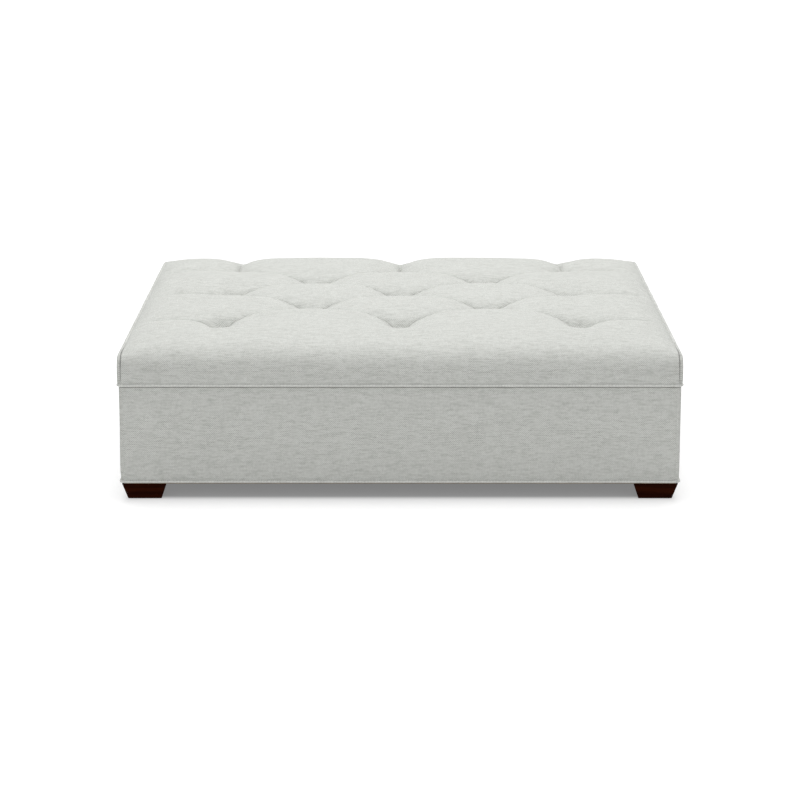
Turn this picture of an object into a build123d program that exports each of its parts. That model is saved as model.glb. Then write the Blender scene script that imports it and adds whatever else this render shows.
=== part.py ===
from build123d import *
import math
import os

# Square storage ottoman: upholstered box base on four block feet, with a blind-tufted lid hinged at the back.
# Millimetres. X runs left to right, Y front to back, Z up. The origin is on the floor under the middle.

# Overall sizes
lid_width = 1320.0
lid_depth = 1320.0
foot_height = 40.0
base_height = 229.0
lid_side_height = 76.0
lid_crown = 39.0

# Plan of the base and the lid
base_inset = 3.3
rail_pad_thickness = 3.5
base_corner_radius = 10.0
side_panel_bulge = 8.6
side_panel_edge = 9.0

# Welts
welt_diameter = 7.0
lid_welt_proud = 1.0
base_welt_proud = 2.0
welt_corner_radius = 9.0
frame_corner_radius = 6.0

# Sheet, board and timber stock
rail_thickness = 18.0
lid_board_thickness = 15.0
floor_thickness = 9.0
bearer_width = 22.0
bearer_height = 30.0
cross_bearer_width = 45.0
cross_bearer_spacing = 420.0
corner_block_size = 110.0
fabric_thickness = 0.8
lining_thickness = 1.0
lining_drop = 6.0

# Lid cushion
front_roll_radius = 45.0
seam_roll_radius = 33.0
shoulder_radius = 443.0
shoulder_degrees = 20.0
seam_shoulder_degrees = 1.5
section_span_shares = (-1.0, -0.92, -0.8, 0.0, 0.8, 0.92, 1.0)
section_rise_shares = (0.0, 0.73, 0.96, 1.0, 0.96, 0.73, 0.0)
side_panel_out_shares = (0.0, 0.65, 1.0)
side_panel_in_shares = (0.0, 0.3, 1.0)

# Tufts and the pleats between them
tuft_pitch_across = 437.0
tuft_pitch_deep = 354.0
tuft_depth = 38.0
tuft_half_width = 84.0
pleat_depth = 8.0
pleat_half_width = 50.0
front_pleat_depth = 18.0
front_pleat_half_width = 55.0
front_pleat_end_depth = 40.0
side_pleat_depth = 10.0
side_pleat_half_width = 50.0
side_pleat_end_depth = 30.0
pleat_rise = 9.0
pillow_swell_share = 0.75
twine_diameter = 2.4
twine_hole_diameter = 6.0
washer_diameter = 20.0
washer_thickness = 2.0

# Feet and their fixings
foot_top_size = 104.0
foot_bottom_size = 79.0
foot_inset = 3.3
foot_edge_radius = 2.0
glide_diameter = 24.0
glide_thickness = 2.0
bolt_diameter = 8.0
bolt_depth_in_foot = 24.0
nut_flange_diameter = 24.0
nut_flange_thickness = 1.6
nut_barrel_diameter = 11.0
nut_barrel_length = 12.0

# Hinges
hinge_length = 76.0
hinge_pitch = 440.0
hinge_set_back = 1.2
leaf_width = 24.0
leaf_thickness = 1.5
knuckle_diameter = 6.0
knuckle_count = 5
hinge_pin_diameter = 3.0
hinge_screw_diameter = 3.5
hinge_screw_length = 13.0
hinge_screw_head_diameter = 6.5
hinge_screw_pitch = 26.0

# Screws through the rails
rail_screw_diameter = 5.0
rail_screw_length = 50.0
rail_screw_head_diameter = 9.0
rail_screw_head_height = 2.5
rail_screw_level_shares = (0.2, 0.5, 0.8)

# Gas struts between the side rails and the lid
strut_from_lining = 14.0
strut_base_pivot_forward = 44.0
strut_base_pivot_down = 44.4
strut_lid_pivot_forward = 196.0
strut_lid_pivot_down = 14.0
strut_stud_diameter = 8.0
strut_stud_head_diameter = 11.0
strut_stud_head_thickness = 2.0
strut_eye_diameter = 16.0
strut_eye_width = 8.0
strut_tube_diameter = 14.0
strut_tube_bore = 11.0
strut_tube_start = 6.0
strut_tube_length = 130.0
strut_tube_end_wall = 4.0
strut_tube_foot_wall = 12.0
strut_rod_diameter = 6.0
strut_piston_length = 6.0
strut_piston_clear = 4.0
strut_plate_length = 36.0
strut_plate_height = 24.0
strut_plate_thickness = 2.0
strut_tab_width = 18.0
strut_tab_clear = 3.4
strut_lid_plate_width = 24.0
strut_screw_pitch = 24.0
strut_open_gap = 0.4

# Bumpers under the lid
bumper_diameter = 12.0
bumper_place_share = 0.8

# Clearances
soft_gap = 0.3
fit_gap = 0.05
overrun = 20.0

# Levels and half sizes that follow from the values above
half_width = lid_width / 2
half_depth = lid_depth / 2
base_half_width = half_width - base_inset
base_half_depth = half_depth - base_inset
base_top = foot_height + base_height
lid_bottom = base_top + knuckle_diameter
pad_top = base_top + rail_pad_thickness
seam_level = lid_bottom + lid_side_height
crest_level = seam_level + lid_crown
rail_bottom = foot_height + fabric_thickness
rail_top = base_top - fabric_thickness
base_cover_thickness = welt_diameter - base_welt_proud
lid_cover_thickness = welt_diameter - lid_welt_proud
cover_half_width = base_half_width - base_cover_thickness
cover_half_depth = base_half_depth - base_cover_thickness
frame_half_width = cover_half_width - soft_gap
frame_half_depth = cover_half_depth - soft_gap
inner_half_width = frame_half_width - rail_thickness
inner_half_depth = frame_half_depth - rail_thickness
seam_half_width = half_width - side_panel_bulge
board_half_depth = half_depth - lid_cover_thickness - soft_gap
board_bottom = lid_bottom + fabric_thickness
board_top = board_bottom + lid_board_thickness
lid_welt_level = lid_bottom + soft_gap + welt_diameter / 2
cover_hem = lid_welt_level + welt_diameter / 2 + soft_gap
base_welt_level = rail_bottom + welt_diameter / 2
base_hem = base_welt_level + welt_diameter / 2 + soft_gap
floor_bottom = rail_bottom + bearer_height
floor_top = floor_bottom + floor_thickness
hinge_y = base_half_depth + hinge_set_back
hinge_z = base_top + knuckle_diameter / 2
hinge_places = (-hinge_pitch, 0.0, hinge_pitch)
bumper_x = bumper_place_share * half_width
bumper_line_x = inner_half_width + rail_thickness / 2
bumper_line_y = -inner_half_depth - rail_thickness / 2
bumper_places = [(-bumper_x, bumper_line_y), (bumper_x, bumper_line_y), (-bumper_line_x, 0), (bumper_line_x, 0)]
foot_x = base_half_width - foot_inset - foot_top_size / 2
foot_y = base_half_depth - foot_inset - foot_top_size / 2
corners = [(-1, -1), (1, -1), (-1, 1), (1, 1)]

parts = {}


def block(x0, x1, y0, y1, z0, z1):
    """A block between two opposite corners."""
    return Pos((x0 + x1) / 2, (y0 + y1) / 2, (z0 + z1) / 2) * Box(x1 - x0, y1 - y0, z1 - z0)


def plan_block(half_x, half_y, z0, z1):
    """A block on the middle of the plan."""
    return block(-half_x, half_x, -half_y, half_y, z0, z1)


def rounded_block(half_x, half_y, z0, z1, radius):
    """A block on the middle of the plan, with rounded upright corners."""
    return Pos(0, 0, z0) * extrude(RectangleRounded(2 * half_x, 2 * half_y, radius), z1 - z0)


def peg(x, y, z0, z1, diameter):
    """An upright cylinder from z0 to z1."""
    return Pos(x, y, (z0 + z1) / 2) * Cylinder(diameter / 2, z1 - z0)


def group(solids):
    """Several separate solids under one name."""
    return Compound(children=list(solids))


def cut_all(solid, tools):
    """The solid less each of the tools."""
    for tool in tools:
        solid = solid - tool
    return solid


def welt_ring(half_x, half_y, level):
    """A welt cord that runs round the plan, through its middle line."""
    outline = RectangleRounded(2 * half_x, 2 * half_y, welt_corner_radius)
    path = (Pos(0, 0, level) * outline).wire()
    start = path @ 0
    section = Plane(origin=start, z_dir=path % 0) * Circle(welt_diameter / 2)
    return sweep(section, path=path)


# Tufts and pleats
def tuft_places():
    """The nine tufts of the grid and the four in its cells."""
    grid = [(i * tuft_pitch_across, j * tuft_pitch_deep) for j in (-1, 0, 1) for i in (-1, 0, 1)]
    cells = [(i * tuft_pitch_across / 2, j * tuft_pitch_deep / 2) for j in (-1, 1) for i in (-1, 1)]
    return grid + cells


def pleat_section(x, y, direction, opening, depth):
    """One section across a pleat: a V whose flanks swell like the pillows beside it."""
    along = (direction[0], direction[1], 0)
    across = (-direction[1], direction[0], 0)
    plane = Plane(origin=(x, y, crest_level + pleat_rise), x_dir=across, z_dir=along)
    up = 1 if plane.y_dir.Z > 0 else -1
    drop = depth + pleat_rise
    slope = math.atan2(drop, opening)
    swell = math.hypot(opening, drop) / 2 * math.tan(pillow_swell_share * slope / 2)
    flank_x = opening / 2 - swell * math.sin(slope)
    flank_z = -up * (drop / 2 - swell * math.cos(slope))
    bottom = (0, -up * drop)
    edges = [
        Line((-opening, 0), (opening, 0)),
        ThreePointArc((opening, 0), (flank_x, flank_z), bottom),
        ThreePointArc(bottom, (-flank_x, flank_z), (-opening, 0)),
    ]
    return plane * make_face(Wire(edges))


def pleat(start, end, stations):
    """A pleat from start to end, through stations of (share of the way, half width, depth)."""
    run = (end[0] - start[0], end[1] - start[1])
    length = math.hypot(*run)
    direction = (run[0] / length, run[1] / length)
    sections = []
    for share, opening, depth in stations:
        x = start[0] + run[0] * share
        y = start[1] + run[1] * share
        sections.append(pleat_section(x, y, direction, opening, depth))
    return loft(sections, ruled=True)


def all_pleats():
    """The diagonal pleats between tufts, and the straight ones from the outer tufts to the edges."""
    tuft = (tuft_half_width, tuft_depth)
    between = ((0.0, *tuft), (0.5, pleat_half_width, pleat_depth), (1.0, *tuft))
    to_front = (
        (0.0, *tuft),
        (0.5, front_pleat_half_width, front_pleat_depth),
        (1.0, front_pleat_half_width, front_pleat_end_depth),
    )
    to_side = (
        (0.0, *tuft),
        (0.5, side_pleat_half_width, side_pleat_depth),
        (1.0, side_pleat_half_width, side_pleat_end_depth),
    )
    half_x = tuft_pitch_across / 2
    half_y = tuft_pitch_deep / 2
    end_x = half_width + overrun
    end_y = half_depth + overrun
    pleats = []
    for i, j in corners:
        cell = (i * half_x, j * half_y)
        for di, dj in corners:
            pleats.append(pleat(cell, (cell[0] + di * half_x, cell[1] + dj * half_y), between))
    for k in (-1, 0, 1):
        x = k * tuft_pitch_across
        y = k * tuft_pitch_deep
        for side in (-1, 1):
            pleats.append(pleat((x, side * tuft_pitch_deep), (x, side * end_y), to_front))
            pleats.append(pleat((side * tuft_pitch_across, y), (side * end_x, y), to_side))
    return pleats


# Lid cushion
def lid_section(x, rise, inset, foot_level):
    """The side view of the cushion at x: upright front and back, rolled edges, shoulders and a flat middle."""
    share = rise / lid_crown
    lean = math.radians(seam_shoulder_degrees + share * (shoulder_degrees - seam_shoulder_degrees))
    radius = seam_roll_radius + share * (front_roll_radius - seam_roll_radius) - inset
    shoulder = shoulder_radius - inset
    half = half_depth - inset
    top = seam_level + rise - inset
    join_y = half - radius + radius * math.sin(lean)
    join_z = top - shoulder * (1 - math.cos(lean))
    flat_y = join_y - shoulder * math.sin(lean)
    roll_z = join_z - radius * math.cos(lean)
    roll_lean = (lean + math.pi / 2) / 2
    roll_middle = (half - radius + radius * math.sin(roll_lean), roll_z + radius * math.cos(roll_lean))
    shoulder_middle = (
        flat_y + shoulder * math.sin(lean / 2),
        top - shoulder * (1 - math.cos(lean / 2)),
    )
    edges = [
        Line((-half, foot_level), (half, foot_level)),
        Line((half, foot_level), (half, roll_z)),
        ThreePointArc((half, roll_z), roll_middle, (join_y, join_z)),
        ThreePointArc((join_y, join_z), shoulder_middle, (flat_y, top)),
        Line((flat_y, top), (-flat_y, top)),
        ThreePointArc((-flat_y, top), (-shoulder_middle[0], shoulder_middle[1]), (-join_y, join_z)),
        ThreePointArc((-join_y, join_z), (-roll_middle[0], roll_middle[1]), (-half, roll_z)),
        Line((-half, roll_z), (-half, foot_level)),
    ]
    return Plane(origin=(x, 0, 0), x_dir=(0, 1, 0), z_dir=(1, 0, 0)) * make_face(Wire(edges))


def tufted_cushion(inset, foot_level, pleats):
    """The cushion between the side seams, drawn in by inset, with its pleats cut."""
    sections = []
    for span, rise in zip(section_span_shares, section_rise_shares):
        sections.append(lid_section(span * seam_half_width, rise * lid_crown, inset, foot_level))
    return cut_all(loft(sections), [Pos(0, 0, -inset) * tool for tool in pleats])


def side_panel(side):
    """A boxed side panel of the lid, which swells out between its seams."""
    sections = []
    for out, into in zip(side_panel_out_shares, side_panel_in_shares):
        x = side * (seam_half_width + out * side_panel_bulge)
        sections.append(lid_section(x, 0.0, into * side_panel_edge, cover_hem))
    return loft(sections)


pleats = all_pleats()
outer_cushion = tufted_cushion(0.0, cover_hem, pleats)
inner_cushion = tufted_cushion(lid_cover_thickness, lid_bottom, pleats)
parts["lid_top_panel"] = outer_cushion - inner_cushion
parts["lid_side_panel_left"] = side_panel(-1)
parts["lid_side_panel_right"] = side_panel(1)

foam_space = plan_block(seam_half_width - soft_gap, half_depth, board_top, crest_level)
foam = foam_space & (Pos(0, 0, -soft_gap) * inner_cushion)
foam_holes = [peg(x, y, lid_bottom, crest_level, twine_hole_diameter) for x, y in tuft_places()]
parts["lid_foam"] = cut_all(foam, foam_holes)

# Lid board, its washers and the twines that pull the tufts down
washer_top = board_bottom + washer_thickness
tuft_level = crest_level - tuft_depth - lid_cover_thickness
lid_board = rounded_block(seam_half_width, board_half_depth, board_bottom, board_top, frame_corner_radius)
washers = []
twines = []
for x, y in tuft_places():
    recess = peg(x, y, board_bottom, washer_top, washer_diameter + 2 * soft_gap)
    lid_board = lid_board - recess - peg(x, y, board_bottom, board_top, twine_hole_diameter)
    washers.append(peg(x, y, board_bottom, washer_top, washer_diameter))
    twines.append(peg(x, y, washer_top, tuft_level - soft_gap, twine_diameter))
parts["tuft_washers"] = group(washers)
parts["tuft_twines"] = group(twines)
lid_lining = rounded_block(seam_half_width, board_half_depth, lid_bottom, board_bottom, frame_corner_radius)
welt_out = lid_welt_proud - welt_diameter / 2
parts["lid_welt"] = welt_ring(half_width + welt_out, half_depth + welt_out, lid_welt_level)

# Rails of the base, the front and back ones between the ends of which the side ones stand
def rail_screw(side_x, side_y, level, extra):
    """A screw through a front or back rail into a side rail, larger all round by extra where it is a hole."""
    screw_x = side_x * (frame_half_width - rail_thickness / 2)
    face = Plane(origin=(screw_x, side_y * frame_half_depth, level), z_dir=(0, -side_y, 0))
    shank = extrude(face * Circle(rail_screw_diameter / 2 + extra), rail_screw_length + extra)
    head = extrude(face * Circle(rail_screw_head_diameter / 2 + extra), rail_screw_head_height + extra)
    return shank + head


rail_height = rail_top - rail_bottom
screw_levels = [rail_bottom + share * rail_height for share in rail_screw_level_shares]
screw_rows = [(side_x, side_y, level) for side_x, side_y in corners for level in screw_levels]
screw_holes = [rail_screw(*row, fit_gap) for row in screw_rows]
parts["rail_screws"] = group([rail_screw(*row, 0.0) for row in screw_rows])
frame = rounded_block(frame_half_width, frame_half_depth, rail_bottom, rail_top, frame_corner_radius)
frame_front = -frame_half_depth
inner_front = -inner_half_depth
reach_x = frame_half_width + overrun
front_rail = frame & block(-reach_x, reach_x, frame_front, inner_front, rail_bottom, rail_top)
back_rail = frame & block(-reach_x, reach_x, inner_half_depth, frame_half_depth, rail_bottom, rail_top)
left_rail = block(-frame_half_width, -inner_half_width, inner_front, inner_half_depth, rail_bottom, rail_top)
right_rail = block(inner_half_width, frame_half_width, inner_front, inner_half_depth, rail_bottom, rail_top)
back_rail = cut_all(back_rail, [hole for hole in screw_holes if hole.center().Y > 0])
parts["front_rail"] = cut_all(front_rail, [hole for hole in screw_holes if hole.center().Y < 0])
parts["left_rail"] = cut_all(left_rail, [hole for hole in screw_holes if hole.center().X < 0])
parts["right_rail"] = cut_all(right_rail, [hole for hole in screw_holes if hole.center().X > 0])

# Covers of the base: four padded panels with a seam at each corner, turned over the tops of the rails
cover = rounded_block(base_half_width, base_half_depth, base_hem, pad_top, base_corner_radius)
cover = cover - rounded_block(cover_half_width, cover_half_depth, base_hem - overrun, rail_top, frame_corner_radius)
cover = cover - plan_block(inner_half_width, inner_half_depth, base_hem - overrun, base_top + overrun)
for x in hinge_places:
    seat_x = hinge_length / 2 + soft_gap
    seat_y = hinge_y - leaf_width - soft_gap
    cover = cover - block(x - seat_x, x + seat_x, seat_y, half_depth + overrun, base_top, base_top + overrun)
for x, y in bumper_places:
    cover = cover - peg(x, y, base_top, base_top + overrun, bumper_diameter + 2 * soft_gap)
seam_x = base_half_width - base_corner_radius
back_reach = base_half_depth + overrun
side_reach = base_half_width + overrun
front_space = block(-seam_x, seam_x, -back_reach, inner_front, base_hem - overrun, base_top + overrun)
back_space = block(-seam_x, seam_x, inner_half_depth, back_reach, base_hem - overrun, base_top + overrun)
left_space = block(-side_reach, 0, -back_reach, back_reach, base_hem - overrun, base_top + overrun)
side_cover = cover - front_space - back_space
parts["base_front_panel"] = cover & front_space
base_back_panel = cover & back_space
parts["base_left_panel"] = side_cover & left_space
parts["base_right_panel"] = side_cover - left_space
welt_out = base_welt_proud - welt_diameter / 2
parts["base_welt"] = welt_ring(base_half_width + welt_out, base_half_depth + welt_out, base_welt_level)

# Floor of the storage space
block_x = inner_half_width - corner_block_size
block_y = inner_half_depth - corner_block_size
bearer_x = inner_half_width - bearer_width
bearer_y = inner_half_depth - bearer_width
corner_blocks = []
bolts = []
nuts = []
glides = []
dust_cover = plan_block(frame_half_width, frame_half_depth, foot_height, rail_bottom)
foot_names = ("foot_front_left", "foot_front_right", "foot_back_left", "foot_back_right")
nut_seat = floor_bottom - nut_flange_thickness
for (side_x, side_y), name in zip(corners, foot_names):
    x = side_x * foot_x
    y = side_y * foot_y
    hole = peg(x, y, foot_height - bolt_depth_in_foot, floor_bottom, bolt_diameter + 2 * fit_gap)
    flange = peg(x, y, nut_seat, floor_bottom, nut_flange_diameter)
    barrel = peg(x, y, nut_seat - nut_barrel_length, nut_seat, nut_barrel_diameter)
    flange_recess = peg(x, y, nut_seat, floor_bottom, nut_flange_diameter + 2 * fit_gap)
    barrel_hole = peg(x, y, nut_seat - nut_barrel_length, nut_seat, nut_barrel_diameter + 2 * fit_gap)
    corner_x = sorted((side_x * block_x, side_x * inner_half_width))
    corner_y = sorted((side_y * block_y, side_y * inner_half_depth))
    timber = block(*corner_x, *corner_y, rail_bottom, floor_bottom)
    corner_blocks.append(timber - hole - flange_recess - barrel_hole)
    nuts.append(flange + barrel - hole)
    bolts.append(peg(x, y, foot_height - bolt_depth_in_foot, floor_bottom, bolt_diameter))
    dust_cover = dust_cover - hole
    foot_top = RectangleRounded(foot_top_size, foot_top_size, foot_edge_radius)
    foot_bottom = RectangleRounded(foot_bottom_size, foot_bottom_size, foot_edge_radius)
    foot = loft([Pos(x, y, glide_thickness) * foot_bottom, Pos(x, y, foot_height) * foot_top])
    parts[name] = foot - hole
    glides.append(peg(x, y, 0, glide_thickness, glide_diameter))
parts["corner_blocks"] = group(corner_blocks)
parts["foot_bolts"] = group(bolts)
parts["foot_nuts"] = group(nuts)
parts["foot_glides"] = group(glides)
parts["dust_cover"] = dust_cover

parts["rail_bearers"] = group(
    [
        block(-block_x, block_x, inner_front, -bearer_y, rail_bottom, floor_bottom),
        block(-block_x, block_x, bearer_y, inner_half_depth, rail_bottom, floor_bottom),
        block(-inner_half_width, -bearer_x, -block_y, block_y, rail_bottom, floor_bottom),
        block(bearer_x, inner_half_width, -block_y, block_y, rail_bottom, floor_bottom),
    ]
)
cross_bearers = []
for side in (-1, 1):
    middle = side * cross_bearer_spacing / 2
    edges = (middle - cross_bearer_width / 2, middle + cross_bearer_width / 2)
    cross_bearers.append(block(-bearer_x, bearer_x, *edges, rail_bottom, floor_bottom))
parts["cross_bearers"] = group(cross_bearers)
parts["floor_panel"] = plan_block(inner_half_width - soft_gap, inner_half_depth - soft_gap, floor_bottom, floor_top)
lining_top = rail_top - lining_drop
lining = plan_block(inner_half_width, inner_half_depth, floor_top, lining_top)
lining_space = plan_block(
    inner_half_width - lining_thickness,
    inner_half_depth - lining_thickness,
    floor_top + lining_thickness,
    lining_top + overrun,
)
parts["storage_lining"] = lining - lining_space

# Bumpers that hold the closed lid off the base
parts["lid_bumpers"] = group([peg(x, y, base_top, lid_bottom, bumper_diameter) for x, y in bumper_places])


# Hinges
def level_peg(x0, x1, y, z, diameter):
    """A cylinder along X from x0 to x1."""
    return Pos((x0 + x1) / 2, y, z) * Rot(0, 90, 0) * Cylinder(diameter / 2, abs(x1 - x0))


def knuckle_row(x, turns):
    """The knuckles of one leaf, every second one along the barrel."""
    length = hinge_length / knuckle_count
    row = []
    for i in turns:
        middle = x - hinge_length / 2 + (i + 0.5) * length
        half = length / 2 - soft_gap / 2
        row.append((middle - half, middle + half))
    return row


def hinge_leaf(x, turns, level):
    """A hinge leaf with its knuckles, its plate from level up."""
    plate_edge = hinge_y - knuckle_diameter / 2 - soft_gap
    half = hinge_length / 2
    leaf = block(x - half, x + half, hinge_y - leaf_width, plate_edge, level, level + leaf_thickness)
    for x0, x1 in knuckle_row(x, turns):
        leaf = leaf + block(x0, x1, plate_edge, hinge_y, level, level + leaf_thickness)
        leaf = leaf + level_peg(x0, x1, hinge_y, hinge_z, knuckle_diameter)
    pin_hole = hinge_pin_diameter + 2 * fit_gap
    return leaf - level_peg(x - half - overrun, x + half + overrun, hinge_y, hinge_z, pin_hole)


def plate_screw(x, y, head_level, up, plate, extra):
    """An upright screw with its head in a plate, larger all round by extra where it is a hole."""
    head_end = head_level + up * plate
    tip = head_level + up * (hinge_screw_length + extra)
    head = peg(x, y, *sorted((head_level, head_end)), hinge_screw_head_diameter + 2 * extra)
    return head + peg(x, y, *sorted((head_level, tip)), hinge_screw_diameter + 2 * extra)


screw_y = hinge_y - (leaf_width + knuckle_diameter / 2) / 2
leaf_screw_x = [x + i * hinge_screw_pitch for x in hinge_places for i in (-1, 0, 1)]
base_leaf_top = base_top + leaf_thickness
lid_leaf_bottom = lid_bottom - leaf_thickness
base_leaves = [hinge_leaf(x, range(0, knuckle_count, 2), base_top) for x in hinge_places]
lid_leaves = [hinge_leaf(x, range(1, knuckle_count, 2), lid_leaf_bottom) for x in hinge_places]
base_holes = [plate_screw(x, screw_y, base_leaf_top, -1, leaf_thickness, fit_gap) for x in leaf_screw_x]
lid_holes = [plate_screw(x, screw_y, lid_leaf_bottom, 1, leaf_thickness, fit_gap) for x in leaf_screw_x]
base_screws = [plate_screw(x, screw_y, base_leaf_top, -1, leaf_thickness, 0.0) for x in leaf_screw_x]
lid_screws = [plate_screw(x, screw_y, lid_leaf_bottom, 1, leaf_thickness, 0.0) for x in leaf_screw_x]
parts["base_hinge_leaves"] = group([cut_all(leaf, base_holes) for leaf in base_leaves])
parts["lid_hinge_leaves"] = group([cut_all(leaf, lid_holes) for leaf in lid_leaves])
parts["base_hinge_screws"] = group(base_screws)
parts["lid_hinge_screws"] = group(lid_screws)
pin_half = hinge_length / 2
parts["hinge_pins"] = group(
    [level_peg(x - pin_half, x + pin_half, hinge_y, hinge_z, hinge_pin_diameter) for x in hinge_places]
)
parts["back_rail"] = cut_all(back_rail, base_holes)
parts["base_back_panel"] = cut_all(base_back_panel, base_holes)
lid_board = cut_all(lid_board, lid_holes)
lid_lining = cut_all(lid_lining, lid_holes)

# Gas struts, made on the right and mirrored. The rod's eye stands beside the stud of the lid's bracket
strut_face = inner_half_width - lining_thickness
strut_x = strut_face - strut_from_lining
low_y = hinge_y - strut_base_pivot_forward
low_z = hinge_z - strut_base_pivot_down
high_y = hinge_y - strut_lid_pivot_forward
high_z = hinge_z - strut_lid_pivot_down
strut_run = math.hypot(high_y - low_y, high_z - low_z)
strut_way = (0, (high_y - low_y) / strut_run, (high_z - low_z) / strut_run)


def strut_round(start, end, diameter):
    """A cylinder along the strut, between two distances from its lower pivot."""
    centre = (strut_x, low_y + start * strut_way[1], low_z + start * strut_way[2])
    return extrude(Plane(origin=centre, z_dir=strut_way) * Circle(diameter / 2), end - start)


def both_sides(solid):
    """The solid and its mirror image on the left."""
    return group([solid.mirror(Plane.YZ), solid])


def side_screw(y, z, extra):
    """A screw through the plate of the lower bracket into the side rail."""
    face = strut_face - strut_plate_thickness
    tip = face + hinge_screw_length + extra
    head = level_peg(face, strut_face, y, z, hinge_screw_head_diameter + 2 * extra)
    return head + level_peg(face, tip, y, z, hinge_screw_diameter + 2 * extra)


eye_in = strut_x - strut_eye_width / 2
eye_out = strut_x + strut_eye_width / 2
stud_hole = strut_stud_diameter + 2 * fit_gap
tube_end = strut_tube_start + strut_tube_length
bore_start = strut_tube_start + strut_tube_foot_wall
bore_end = tube_end - strut_tube_end_wall
tube = level_peg(eye_in, eye_out, low_y, low_z, strut_eye_diameter)
tube = tube + strut_round(strut_tube_start, tube_end, strut_tube_diameter)
tube = tube - strut_round(bore_start, bore_end, strut_tube_bore)
tube = tube - strut_round(bore_end, tube_end + overrun, strut_rod_diameter + 2 * fit_gap)
tube = tube - level_peg(eye_in - overrun, eye_out + overrun, low_y, low_z, stud_hole)
piston_start = bore_start + strut_piston_clear
rod = level_peg(eye_in, eye_out, high_y, high_z, strut_eye_diameter)
rod = rod + strut_round(piston_start, strut_run, strut_rod_diameter)
rod = rod - level_peg(eye_in - overrun, eye_out + overrun, high_y, high_z, stud_hole)
rod = rod + strut_round(piston_start, piston_start + strut_piston_length, strut_tube_bore - 2 * fit_gap)
parts["strut_tube_right"] = tube
parts["strut_tube_left"] = tube.mirror(Plane.YZ)
parts["strut_rod_right"] = rod
parts["strut_rod_left"] = rod.mirror(Plane.YZ)

plate_y = (low_y - strut_plate_length / 2, low_y + strut_plate_length / 2)
plate_z = (low_z - strut_plate_height / 2, low_z + strut_plate_height / 2)
head_end = eye_in - soft_gap
low_bracket = block(strut_face - strut_plate_thickness, strut_face, *plate_y, *plate_z)
low_bracket = low_bracket + level_peg(head_end, strut_face, low_y, low_z, strut_stud_diameter)
stud_head = level_peg(head_end - strut_stud_head_thickness, head_end, low_y, low_z, strut_stud_head_diameter)
side_screw_y = (low_y - strut_screw_pitch / 2, low_y + strut_screw_pitch / 2)
side_holes = [side_screw(y, low_z, fit_gap) for y in side_screw_y]
parts["strut_base_brackets"] = both_sides(cut_all(low_bracket, side_holes) + stud_head)
side_screws = [side_screw(y, low_z, 0.0) for y in side_screw_y]
parts["strut_base_screws"] = group(side_screws + [screw.mirror(Plane.YZ) for screw in side_screws])
for hole in side_holes:
    left_hole = hole.mirror(Plane.YZ)
    parts["right_rail"] = parts["right_rail"] - hole
    parts["left_rail"] = parts["left_rail"] - left_hole
    parts["storage_lining"] = parts["storage_lining"] - hole - left_hole

tab_in = eye_out + strut_tab_clear
tab_out = tab_in + strut_plate_thickness
plate_bottom = lid_bottom - strut_plate_thickness
lid_plate_y = (high_y - strut_plate_length / 2, high_y + strut_plate_length / 2)
lid_bracket = block(tab_out - strut_lid_plate_width, tab_out, *lid_plate_y, plate_bottom, lid_bottom)
tab_y = (high_y - strut_tab_width / 2, high_y + strut_tab_width / 2)
lid_bracket = lid_bracket + block(tab_in, tab_out, *tab_y, high_z, lid_bottom)
lid_bracket = lid_bracket + level_peg(tab_in, tab_out, high_y, high_z, strut_tab_width)
lid_bracket = lid_bracket + level_peg(eye_out + strut_open_gap, tab_in, high_y, high_z, strut_stud_diameter)
bracket_screw_x = tab_out - strut_lid_plate_width / 2
bracket_screw_y = (high_y - strut_screw_pitch / 2, high_y + strut_screw_pitch / 2)
bracket_rows = [(bracket_screw_x, y, plate_bottom, 1, strut_plate_thickness) for y in bracket_screw_y]
bracket_holes = [plate_screw(*row, fit_gap) for row in bracket_rows]
bracket_screws = [plate_screw(*row, 0.0) for row in bracket_rows]
parts["strut_lid_brackets"] = both_sides(cut_all(lid_bracket, bracket_holes))
parts["strut_lid_screws"] = group(bracket_screws + [screw.mirror(Plane.YZ) for screw in bracket_screws])
for hole in bracket_holes:
    left_hole = hole.mirror(Plane.YZ)
    lid_board = lid_board - hole - left_hole
    lid_lining = lid_lining - hole - left_hole
parts["lid_board"] = lid_board
parts["lid_lining"] = lid_lining

os.makedirs("parts", exist_ok=True)
for name, solid in parts.items():
    export_step(solid, f"parts/{name}.step")
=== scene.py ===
import itertools
import math

import bpy
import numpy as np
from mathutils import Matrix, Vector


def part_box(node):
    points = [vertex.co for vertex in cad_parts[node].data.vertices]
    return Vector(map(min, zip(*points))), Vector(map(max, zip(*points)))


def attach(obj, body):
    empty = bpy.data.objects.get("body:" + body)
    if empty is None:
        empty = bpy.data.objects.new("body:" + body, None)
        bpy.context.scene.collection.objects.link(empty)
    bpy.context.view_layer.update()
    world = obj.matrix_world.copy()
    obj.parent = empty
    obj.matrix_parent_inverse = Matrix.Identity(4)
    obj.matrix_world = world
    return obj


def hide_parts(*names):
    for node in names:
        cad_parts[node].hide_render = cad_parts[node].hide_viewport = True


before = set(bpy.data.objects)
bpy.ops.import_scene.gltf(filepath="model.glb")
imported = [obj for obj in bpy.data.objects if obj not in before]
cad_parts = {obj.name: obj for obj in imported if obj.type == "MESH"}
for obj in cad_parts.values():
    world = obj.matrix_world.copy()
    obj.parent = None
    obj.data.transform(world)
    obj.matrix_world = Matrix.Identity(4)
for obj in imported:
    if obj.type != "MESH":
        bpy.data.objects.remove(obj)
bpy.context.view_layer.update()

# Looks of the storage ottoman. Metres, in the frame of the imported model: front towards -Y, Z up.
scene = bpy.context.scene
MM = 0.001

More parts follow.
